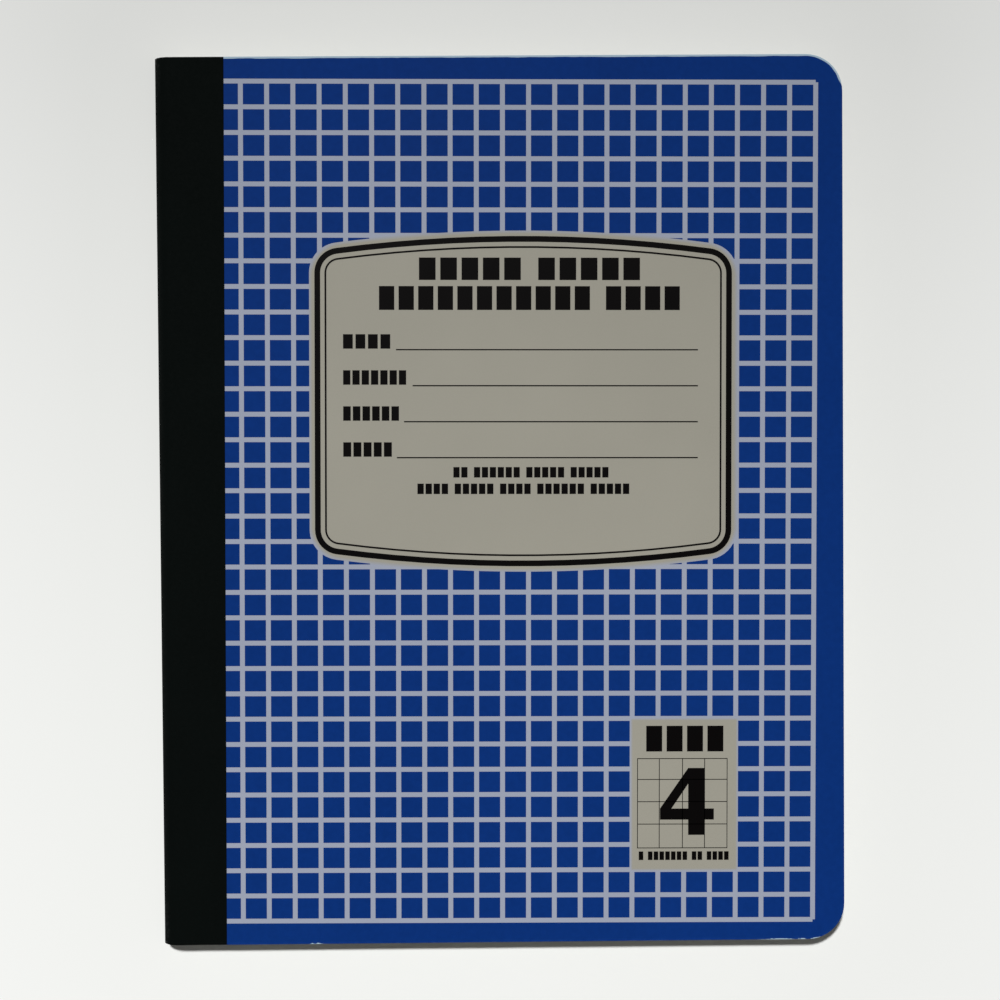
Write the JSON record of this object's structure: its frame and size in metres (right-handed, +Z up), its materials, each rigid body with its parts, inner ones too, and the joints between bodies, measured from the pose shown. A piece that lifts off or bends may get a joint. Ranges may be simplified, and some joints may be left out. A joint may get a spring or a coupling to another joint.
{
  "type": "composition notebook",
  "caption": "Sewn composition notebook with a rounded taped spine, flexible printed board covers with rounded fore-edge corners, and a page block stitched through its fold.",
  "frame": {"origin": "middle of the bounding box, in the plane that the closed notebook lies on", "axes": "+Z up, out of the front cover; +Y to the head of the notebook; +X from the spine to the fore-edge"},
  "size_m": [0.191, 0.247, 0.0084],
  "materials": {
    "page_paper": "matte",
    "thread": "matte",
    "tape_cloth": "matte",
    "board": "matte",
    "blue_ink": "satin",
    "black_ink": "satin"
  },
  "bodies": {
    "text_block": {"page_block": "page_paper", "sewing_thread": "thread", "spine_tape": "tape_cloth"},
    "front_cover": {"front_board": "board", "spine_tape_front": "tape_cloth", "front_blue_print": "blue_ink", "front_black_print": "black_ink"},
    "back_cover": {"back_board": "board", "spine_tape_back": "tape_cloth", "back_blue_print": "blue_ink"}
  },
  "joints": [
    {"name": "front_cover_hinge", "type": "hinge", "parent": "text_block", "child": "front_cover", "pos_m": [-0.0913, 0, 0.00855], "axis": [0, -1, 0], "range_deg": [0, 180]},
    {"name": "back_cover_hinge", "type": "hinge", "parent": "text_block", "child": "back_cover", "pos_m": [-0.0913, 0, -0.00015], "axis": [0, 1, 0], "range_deg": [0, 180]}
  ]
}
